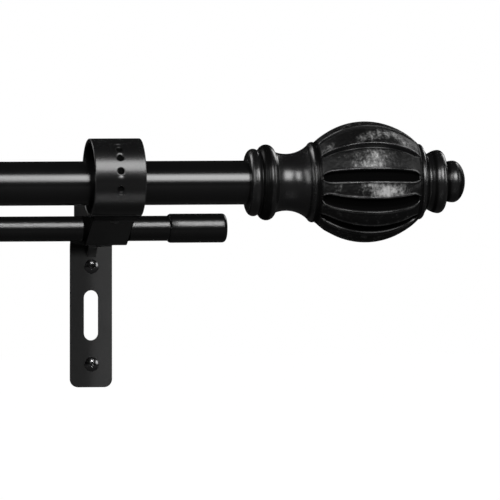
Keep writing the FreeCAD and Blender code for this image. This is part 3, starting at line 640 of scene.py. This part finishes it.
def finial_surface():
    """Each row's place along the finial, each point's radius and turn, and the marks for its paint."""
    profile = finial_profile()
    along, radius = profile[:, 0], profile[:, 1]
    in_bulb = np.clip(along, BULB_START, BULB_END)
    to_end = np.minimum(in_bulb - FLUTE_ENDS[0], FLUTE_ENDS[1] - in_bulb)
    rounding = 1 - np.clip(to_end / FLUTE_ROUND, FLUTE_LEAST, 1)
    flute_half = FLUTE_W / 2 * np.sqrt(bulb_radius(in_bulb) / BULB_R * (1 - rounding ** 2))
    turns, shares, flutes = flute_columns(flute_half / bulb_radius(in_bulb))
    _, upper, lower, shade_above, shade_below = np.array(FLUTE_CUTS)[flutes % len(FLUTE_CUTS)].T
    from_floor = np.abs(shares)
    gentle = (shares < 0) & (shade_below < GENTLE_SHADE)
    edge_rub = np.where(shares > 0, upper, lower)
    wall_shade = np.where(shares < 0, shade_below, shade_above)
    wall = np.where(gentle, smooth_step(from_floor, *GENTLE_WALL), smooth_step(from_floor, *STEEP_WALL))
    face = np.where(gentle, smooth_step(from_floor, *GENTLE_FACE), smooth_step(from_floor, *STEEP_FACE))
    lip = hump(from_floor, *LIP) * edge_rub
    unrubbed = hump(from_floor, *BRINK) * np.where(gentle, 0, 1 - edge_rub)
    on_ribs = window(along, *RIB_RUN)[:, None]
    mid_bulb = 1 - smooth_step(np.abs(along - BULB_AT), *MID_BULB)[:, None]
    flute_at = window(along, *FLUTE_RUN)[:, None] * (1 - wall)
    # painted shade on the flute walls and on unrubbed brinks near the middle of the bulb
    flute_shade_at = np.maximum(flute_at * wall_shade, BRINK_SHADE * mid_bulb * unrubbed)
    lip_at = on_ribs * lip
    rib_at = on_ribs * face
    dents = np.zeros(turns.shape)
    for row, column in zip(*np.nonzero(rib_at > 0.01)):
        turn = turns[row, column]
        round_y, round_z = math.cos(turn) * DENTS_ROUND, math.sin(turn) * DENTS_ROUND
        spot = Vector((along[row] * DENTS_ALONG, round_y, round_z))
        fine = noise.noise(spot * FINE_DENTS[0]) * FINE_DENTS[1]
        dents[row, column] = noise.noise(spot) * BROAD_DENTS + fine
    out = radius[:, None] - FLUTE_DEPTH * flute_at + LIP_RISE * lip_at + (dents - RIB_SINK) * rib_at
    angle = turns + FLUTE_TURN
    rub_at = np.zeros(out.shape)
    for turn, place, height, length, strength in RUBS:
        aside = (np.degrees(angle) - turn + 90) % 180 - 90
        rub_at += strength * np.exp(-(aside / height) ** 2 - ((along[:, None] - place) / length) ** 2)
    # painted shade on the listed bands, over their gloss
    painted_shade = np.zeros(along.shape)
    for first, last in SHADED_BANDS:
        painted_shade += window(along, first - SHADE_LEAD, first + SHADE_FADE, last - SHADE_FADE, last + SHADE_FADE)
    band_shade_at = np.broadcast_to(BAND_SHADE * painted_shade[:, None], out.shape)
    marks = {"rib": rib_at, "lip": lip_at, "flute": flute_shade_at, "rub": rub_at, "painted_shade": band_shade_at}
    return along, out, angle, marks


def make_finial(side_name, side):
    """Turned finial with cut flutes, closed at its face on the pole and at its tip."""
    along, out, angle, marks = finial_surface()
    pole_low, pole_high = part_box("front_pole")
    axis = middle("front_pole")
    start = pole_high.x if side > 0 else pole_low.x
    x = start + side * MM * np.broadcast_to(along[:, None], out.shape)
    root = (start, axis.y, axis.z)
    tip = (start + side * MM * FINIAL_LEN, axis.y, axis.z)
    points = turned_points(x, out, angle, axis)
    piece = grid_piece(f"{side_name}_finial_turned", points, PAINT, flip=side < 0, tips=(root, tip))
    for name, numbers in marks.items():
        keep_on_points(piece, name, numbers)
    stand_for(piece, f"{side_name}_finial")
    return piece


# Pole ring, in millimetres and degrees up from the front: wall, rounding of the rims, and rows of the
# mesh across the band outside and inside
RING_WALL = 2.5
RIM_R = 0.7
RIM_ROWS = 5
OUTER_ROWS = 67
INNER_ROWS = 14

# Dimples: turn of each, turn of the burr that it threw up and the strength of the painted highlight
# on it, then radius and depth, radius of the flat floor, where the painted shade in the dimple starts
# and ends, and the burr's half length, half height and rise
DIMPLES = ((48.0, 59.0, 0.4), (32.5, 40.0, 0.35), (11.2, 1.7, 0.6), (-15.3, -24.0, 0.6))
DIMPLE_R = 2.5
DIMPLE_DEPTH = 1.1
DIMPLE_FLOOR = 0.9
DIMPLE_SHADE = (1.7, 2.8)
BURR = (1.5, 0.7, 0.4)

# The band's lower edge, in degrees from straight down: where the painted shade underneath ends, and
# centre and spread of the painted highlight line; then how far in the rims get a painted highlight,
# sideways and inward, and how much
UNDERSIDE = (14.0, 16.0)
HIGHLIGHT_LINE = (17.4, 1.6)
RIM_HIGHLIGHT = (0.55, 0.75, 0.1)


def degrees_from(turns, degrees):
    """Turn from a place on the ring to each of the turns, from -180 to 180 degrees."""
    return (np.degrees(turns) - degrees + 180) % 360 - 180


def ring_section(half, outer):
    """Points round the band's section: place across the band and radius."""
    rim = np.linspace(0, math.pi / 2, RIM_ROWS)
    corners = (
        (half - RIM_R, outer - RING_WALL + RIM_R, -math.pi / 2),
        (half - RIM_R, outer - RIM_R, 0),
    )
    rims = [(x + RIM_R * math.cos(t + turn), r + RIM_R * math.sin(t + turn))
            for x, r, turn in corners for t in rim]
    outside = [(x, outer) for x in np.linspace(half - RIM_R, RIM_R - half, OUTER_ROWS)[1:-1]]
    far_rims = [(-x, r) for x, r in reversed(rims)]
    inside = [(x, outer - RING_WALL) for x in np.linspace(RIM_R - half, half - RIM_R, INNER_ROWS)[1:-1]]
    return np.array(rims + outside + far_rims + inside)


def make_ring(side_name):
    """Band with rolled rims; each dimple is pressed in and has thrown up a burr beside it. The dimples
    and the underside carry painted shade; the burrs, the rims and the lower edge painted highlights.
    """
    low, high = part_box(f"{side_name}_pole_ring")
    centre = (low + high) / 2
    half = (high.x - low.x) / 2 / MM
    outer = (high.z - low.z) / 2 / MM
    section = ring_section(half, outer)
    turns = np.radians(np.arange(0, 360, 1.0))
    x = np.broadcast_to(section[:, 0][:, None], (len(section), len(turns)))
    radius = np.broadcast_to(section[:, 1][:, None], x.shape).copy()
    outside = radius > outer - 0.01
    pit_shade = np.zeros(x.shape)
    burr_highlights = np.zeros(x.shape)
    # rubbed is the strength of the painted highlight on each dimple's burr
    for dimple, thrown, rubbed in DIMPLES:
        distance = np.hypot(x, np.radians(degrees_from(turns, dimple))[None] * outer)
        from_burr = np.radians(degrees_from(turns, thrown))[None] * outer
        pit = -DIMPLE_DEPTH * (1 - smooth_step(distance, DIMPLE_FLOOR, DIMPLE_R))
        burr = np.exp(-(x / BURR[0]) ** 2 - (from_burr / BURR[1]) ** 2)
        radius += np.where(outside, pit + BURR[2] * burr, 0)
        pit_shade += np.where(outside, 1 - smooth_step(distance, *DIMPLE_SHADE), 0)
        burr_highlights += np.where(outside, rubbed * burr, 0)
    points = turned_points(centre.x + MM * x, radius, turns[None], centre)
    piece = grid_piece(f"{side_name}_ring_band", points, BAND, round_rows=True)
    below = np.abs(degrees_from(turns, -90))[None]
    # painted shade on the underside, where the band meets the strap
    under = (1 - smooth_step(below, *UNDERSIDE)) * outside
    rolled = (np.abs(x) > half - RIM_HIGHLIGHT[0]) & (radius > outer - RIM_HIGHLIGHT[1])
    # painted highlight: a light line along the band's lower edge
    painted_highlight = hump(below, *HIGHLIGHT_LINE) * outside
    keep_on_points(piece, "pit", np.clip(pit_shade + under, 0, 1))
    keep_on_points(piece, "painted_highlight", np.clip(burr_highlights + painted_highlight + RIM_HIGHLIGHT[2] * rolled, 0, 1))
    stand_for(piece, f"{side_name}_pole_ring")
    return piece


# End cap, in millimetres: thickness of its end, rounding of the end, play round the back pole, and
# columns of the mesh
CAP_END = 1.6
CAP_ROUND = 2.6
CAP_PLAY = 0.1
CAP_COLUMNS = 96


def make_end_cap(side_name, side):
    """Cup with a rounded end and a tapered mouth, turned in one."""
    low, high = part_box(f"{side_name}_end_cap")
    axis = middle("back_pole")
    radius = (high.z - low.z) / 2 / MM
    length = (high.x - low.x) / MM
    bore = (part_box("back_pole")[1].z - axis.z) / MM + CAP_PLAY
    end = high.x if side > 0 else low.x
    turn = np.linspace(0, math.pi / 2, 8)
    flat_r = radius - CAP_ROUND
    hollow = [(CAP_END, 0.6), (CAP_END, bore), (length - 0.15, bore), (length, bore + 0.15)]
    mouth = [(length, radius - 0.75), (length - 0.12, radius - 0.5), (length - 1.0, radius - 0.08)]
    barrel = [(length - 1.3, radius)] + [(length * share, radius) for share in (0.8, 0.6, 0.4, 0.2)]
    shoulder = [(CAP_ROUND * (1 - math.sin(t)), radius - CAP_ROUND * (1 - math.cos(t))) for t in turn]
    flat = [(0, flat_r * share) for share in (0.66, 0.33, 0.1)]
    profile = np.array(hollow + mouth + barrel + shoulder + flat)
    turns = np.linspace(0, 2 * math.pi, CAP_COLUMNS, endpoint=False)
    out = np.broadcast_to(profile[:, 1][:, None], (len(profile), len(turns)))
    x = end - side * MM * np.broadcast_to(profile[:, 0][:, None], out.shape)
    points = turned_points(x, out, turns[None], axis)
    tips = ((end - side * MM * CAP_END, axis.y, axis.z), (end, axis.y, axis.z))
    piece = grid_piece(f"{side_name}_cap_cup", points, CAP, flip=side < 0, tips=tips)
    stand_for(piece, f"{side_name}_end_cap")
    return piece


# Wall screw, in millimetres: head radius and height, shank radius and length, length of the point and
# pitch of the thread; then the thickness of the wall plate under the head
WALL_SCREW = (4.6, 2.9, 2.25, 38.0, 6.8, 1.9)
PLATE = 2.5

# Columns and steps of the mesh, to a turn of the thread
SCREW_COLUMNS = 96
THREAD_STEPS = 9

# Cross recess, in shares of the head: depth, half width of an arm from and to, and its reach
RECESS_DEPTH = 0.4
RECESS_HALF = (0.07, 0.13)
RECESS_REACH = (0.3, 0.38)

# Under the head: the shank is a little thinner down to where the plate ends, and the thread sets in
NECK_SHARE = 0.89
NECK_END = (2.5, 3.2)
THREAD_START = (2.4, 4.0)
THREAD_DEPTH = 0.3
THREAD_CREST = (0.55, 1.0)
POINT_SHARE = 0.25


def screw_points(head_r, head_h, shank_r, length, point, pitch):
    """Grid of a pan-head screw along its own axis: cross recess, dome, rim, and a cut thread.
    Each point is its height over the head's seat, its radius and its turn."""
    turns = np.linspace(0, 2 * math.pi, SCREW_COLUMNS, endpoint=False)
    level = np.ones(SCREW_COLUMNS)
    arms = turns + math.pi / 4
    across = np.minimum(np.abs(np.sin(arms)), np.abs(np.cos(arms)))
    outward = np.maximum(np.abs(np.sin(arms)), np.abs(np.cos(arms)))
    half_from, half_to = (share * head_r for share in RECESS_HALF)
    reach_from, reach_to = (share * head_r for share in RECESS_REACH)
    rows = []
    for share in np.concatenate((np.linspace(0.04, 0.66, 22), np.linspace(0.7, 1.0, 10))):
        out = head_r * share
        dome = head_h * (0.3 + 0.7 * (1 - share ** 2.2))
        beside = smooth_step(across * out, half_from, half_to)
        beyond = smooth_step(outward * out, reach_from, reach_to)
        rows.append((dome - RECESS_DEPTH * head_h * (1 - beside) * (1 - beyond), level * out))
    for height, share in ((0.2, 1.0), (0.06, 0.985), (0.0, 0.95), (0.0, 0.75)):
        rows.append((level * head_h * height, level * head_r * share))
    for down in np.arange(0, length, pitch / THREAD_STEPS):
        taper = min(1.0, POINT_SHARE + (1 - POINT_SHARE) * (length - down) / point)
        ridge = np.abs(((down / pitch - turns / (2 * math.pi)) % 1) * 2 - 1)
        cut = smooth_step(down, *THREAD_START) * THREAD_DEPTH * (1 - smooth_step(ridge, *THREAD_CREST))
        neck = NECK_SHARE + (1 - NECK_SHARE) * smooth_step(down, *NECK_END)
        rows.append((level * -down, shank_r * taper * neck * (1 - cut)))
    height = np.array([row[0] for row in rows])
    radius = np.array([row[1] for row in rows])
    return height, radius, np.broadcast_to(turns, height.shape)


def make_screw(node, seat, inward, sizes):
    """A screw whose head sits at a seat point and whose shank runs inward."""
    height, radius, turns = screw_points(*sizes)
    inward = Vector(inward).normalized()
    sideways = inward.orthogonal().normalized()
    upward = inward.cross(sideways)
    points = (
        np.array(seat)
        - MM * height[..., None] * np.array(inward)
        + MM * (radius * np.cos(turns))[..., None] * np.array(sideways)
        + MM * (radius * np.sin(turns))[..., None] * np.array(upward)
    )
    head = Vector(seat) - inward * MM * float(height[0].mean())
    tip = Vector(seat) + inward * MM * sizes[3]
    piece = grid_piece(f"{node}_cut", points, SCREW, flip=True, tips=(head, tip))
    stand_for(piece, node)
    return piece


def make_screws(side_name):
    """The two wall screws of a bracket, with their heads on the plate's front."""
    made = []
    for level in ("upper", "lower"):
        node = f"{side_name}_{level}_wall_screw"
        at = middle(node)
        made.append(make_screw(node, (at.x, -PLATE * MM, at.z), (0, 1, 0), WALL_SCREW))
    return made


def dress_node(node, material, bevel=None):
    """Keep a CAD node, with its own finish and, where asked, lightly rounded edges."""
    piece = nodes[node]
    piece.data.materials.clear()
    piece.data.materials.append(material)
    if bevel is not None:
        weld = piece.modifiers.new("weld", "WELD")
        weld.merge_threshold = 0.00001
        rounding = piece.modifiers.new("rounding", "BEVEL")
        rounding.width = bevel * MM
        rounding.segments = 3
        rounding.limit_method = "ANGLE"
        rounding.angle_limit = math.radians(35)
        rounding.harden_normals = True


finials, caps, bands, screws = [], [], [], []
dress_node("front_pole", LACQUER)
dress_node("back_pole", THIN_LACQUER)
for side_name, side in SIDES:
    finials.append(make_finial(side_name, side))
    bands.append(make_ring(side_name))
    caps.append(make_end_cap(side_name, side))
    screws += make_screws(side_name)
    dress_node(f"{side_name}_bracket_strap", STRAP, bevel=0.4)
    dress_node(f"{side_name}_ring_stay", STRAP, bevel=0.3)
    dress_node(f"{side_name}_finial_stud", ZINC)
    dress_node(f"{side_name}_pole_plug", NYLON)
    dress_node(f"{side_name}_pole_saddle", NYLON)
    for pin in ("strap_rivet", "foot_rivet", "tab_rivet", "lock_screw"):
        dress_node(f"{side_name}_{pin}", SCREW)


# Camera: the photo's scale and angle, aimed from the point of the front pole inside the ring
MM_PER_PIXEL = 0.6335
PIXELS = 500
RING_PIXEL = (114.4, 183.2)
YAW = math.radians(10.5)
DROP = math.radians(1.8)
DISTANCE = 12.0


def set_camera():
    """A long lens from the photo's side; returns the point at the middle of the picture."""
    ring = middle("right_pole_ring")
    pole = middle("front_pole")
    forward = Vector((math.sin(YAW) * math.cos(DROP), math.cos(YAW) * math.cos(DROP), -math.sin(DROP)))
    right = Vector((math.cos(YAW), -math.sin(YAW), 0))
    upward = right.cross(forward)
    right_by = (PIXELS / 2 - RING_PIXEL[0]) * MM_PER_PIXEL * MM
    down_by = (PIXELS / 2 - RING_PIXEL[1]) * MM_PER_PIXEL * MM
    target = Vector((ring.x, pole.y, pole.z)) + right * right_by - upward * down_by
    camera = bpy.data.cameras.new("camera")
    camera.sensor_width = 36
    camera.lens = camera.sensor_width * DISTANCE / (PIXELS * MM_PER_PIXEL * MM)
    camera.clip_end = 100
    holder = bpy.data.objects.new("camera", camera)
    holder.location = target - forward * DISTANCE
    holder.rotation_euler = forward.to_track_quat("-Z", "Y").to_euler()
    bpy.context.scene.collection.objects.link(holder)
    bpy.context.scene.camera = holder
    return target


def light_group(name, pieces, state):
    """A set of pieces that a panel lights, or is blocked by, or is kept off."""
    group = bpy.data.collections.new(name)
    for piece in pieces:
        group.objects.link(piece)
    for entry in group.collection_objects:
        entry.light_linking.link_state = state
    return group


def softbox(name, target, azimuth, elevation, width, height, level, away=2.6,
            lit=None, spared=None, bare=False):
    """A soft panel of even brightness that faces the target; level is its radiance. It may light
    only some pieces, or spare some. A bare panel is blocked by nothing but the pieces that it lights."""
    lamp = bpy.data.lights.new(name, "AREA")
    lamp.shape = "RECTANGLE"
    lamp.size = width
    lamp.size_y = height
    lamp.energy = level * math.pi * width * height
    turn, rise = math.radians(azimuth), math.radians(elevation)
    back = Vector((math.sin(turn) * math.cos(rise), -math.cos(turn) * math.cos(rise), math.sin(rise)))
    holder = bpy.data.objects.new(name, lamp)
    holder.location = target + back * away
    holder.rotation_euler = (-back).to_track_quat("-Z", "Y").to_euler()
    bpy.context.scene.collection.objects.link(holder)
    if lit or spared:
        state = "INCLUDE" if lit else "EXCLUDE"
        holder.light_linking.receiver_collection = light_group(f"{name}_lights", lit or spared, state)
    if bare:
        lamp.cycles.use_multiple_importance_sampling = False
        holder.light_linking.blocker_collection = light_group(f"{name}_blockers", lit, "INCLUDE")


def set_light(target):
    """Panels round the front, as their streaks on the finial's neck and beads tell, and two behind. The
    ring, the finials, the back pole and the straps also have panels of their own, and all of those
    but the ring's upper one shine past the pieces in front."""
    behind = [nodes["back_pole"], *caps, *screws]
    straps = []
    for side_name, _ in SIDES:
        straps += [nodes[f"{side_name}_bracket_strap"], nodes[f"{side_name}_ring_stay"]]
    kept_off = behind + straps
    # Azimuth and elevation in degrees, width and height in metres, and level of each panel
    softbox("right_key", target, 20.5, 30, 1.3, 1.8, 6.0, spared=kept_off + bands)
    softbox("right_core", target, 20.5, 30, 1.25, 1.05, 6.5, away=2.5, spared=kept_off + bands)
    softbox("left_key", target, -18, 28, 0.6, 1.4, 13.0, spared=kept_off)
    softbox("ring_key", target, 18, 38, 1.4, 1.4, 11.0, lit=bands)
    softbox("ring_low", target, 12, -58, 1.4, 1.2, 0.75, lit=bands, bare=True)
    softbox("finial_low", target, 12, -50, 1.6, 1.4, 0.2, lit=finials, bare=True)
    softbox("back_key", target, 14, 38, 0.9, 1.5, 12.0, lit=behind, bare=True)
    softbox("strap_side", target, 27, 0, 1.2, 1.2, 2.8, lit=straps, bare=True)
    softbox("strap_low", target, 12, -75, 1.4, 1.4, 0.4, lit=straps, bare=True)
    softbox("left_side", target, -52, 20, 0.55, 1.6, 6.0, spared=screws + bands)
    softbox("far_left", target, -80, 18, 0.5, 1.3, 6.5, spared=screws + bands)
    softbox("right_side", target, 80, 16, 1.1, 1.3, 4.5)
    softbox("left_rim", target, -132, 28, 1.1, 1.2, 4.0)
    softbox("right_rim", target, 132, 28, 1.1, 1.2, 4.0)


# The room's level round the part, and what reflections see on top of it
ROOM = 0.01
ROOM_GLOSS = 0.004


def set_world():
    """White where the camera looks past the part, and a dim room for light and reflections."""
    world = bpy.data.worlds.new("studio")
    world.use_nodes = True
    bpy.context.scene.world = world
    finish = Finish(world.node_tree)
    camera_ray = finish.node("LightPath", output=0)
    glossy_ray = finish.node("LightPath", output=3)
    clear_ray = finish.node("LightPath", output=6)
    level = camera_ray.at_least(clear_ray).at_least(ROOM + glossy_ray * ROOM_GLOSS)
    shade = finish.node("Background", inputs={"Color": (1, 1, 1, 1), "Strength": level})
    finish.node("OutputWorld", inputs={"Surface": shade})


# Floor, in metres: half its side, how far it lies below the part, and where it starts to fade into the
# white and is gone, from the part's middle; then how bright the paper itself looks to the camera
FLOOR_REACH = 9.0
FLOOR_BELOW = 0.32
FLOOR_FADE = (0.5, 2.2)
FLOOR_PALE = 0.66


def set_floor():
    """Pale studio floor below the part, out of the photo's frame. It fades into the white behind it,
    and is clear from below."""
    material, finish = new_finish("floor_paper")
    camera_ray = finish.node("LightPath", output=0)
    from_below = finish.node("NewGeometry", output=6)
    level_place = finish.place((1, 1, 0))
    from_part = finish.node("VectorMath", {"operation": "LENGTH"}, {0: level_place}, output=1)
    near = camera_ray * (1 - finish.ramp(from_part, *FLOOR_FADE))
    far = camera_ray * finish.ramp(from_part, *FLOOR_FADE)
    finish.wear(finish.coat(
        finish.grain(40), 0.05, 0.0005,
        Base_Color=finish.blend(near, (0.03, 0.03, 0.03), (0.2, 0.2, 0.2)),
        Roughness=0.85 + finish.grain(12) * 0.05,
        Emission_Color=finish.blend(near * FLOOR_PALE + far, (0, 0, 0), (1, 1, 1)),
        Emission_Strength=1.0,
        Alpha=1 - from_below,
    ))
    level = cad_box[0].z - FLOOR_BELOW
    turned = ((-1, -1), (1, -1), (1, 1), (-1, 1))
    corners = [(x * FLOOR_REACH, y * FLOOR_REACH, level) for x, y in turned]
    mesh = bpy.data.meshes.new("floor")
    mesh.from_pydata(corners, [], [(0, 1, 2, 3)])
    mesh.materials.append(material)
    floor = bpy.data.objects.new("floor", mesh)
    bpy.context.scene.collection.objects.link(floor)


aim = set_camera()
set_light(aim)
set_world()
set_floor()
bpy.context.scene.view_settings.view_transform = "Standard"
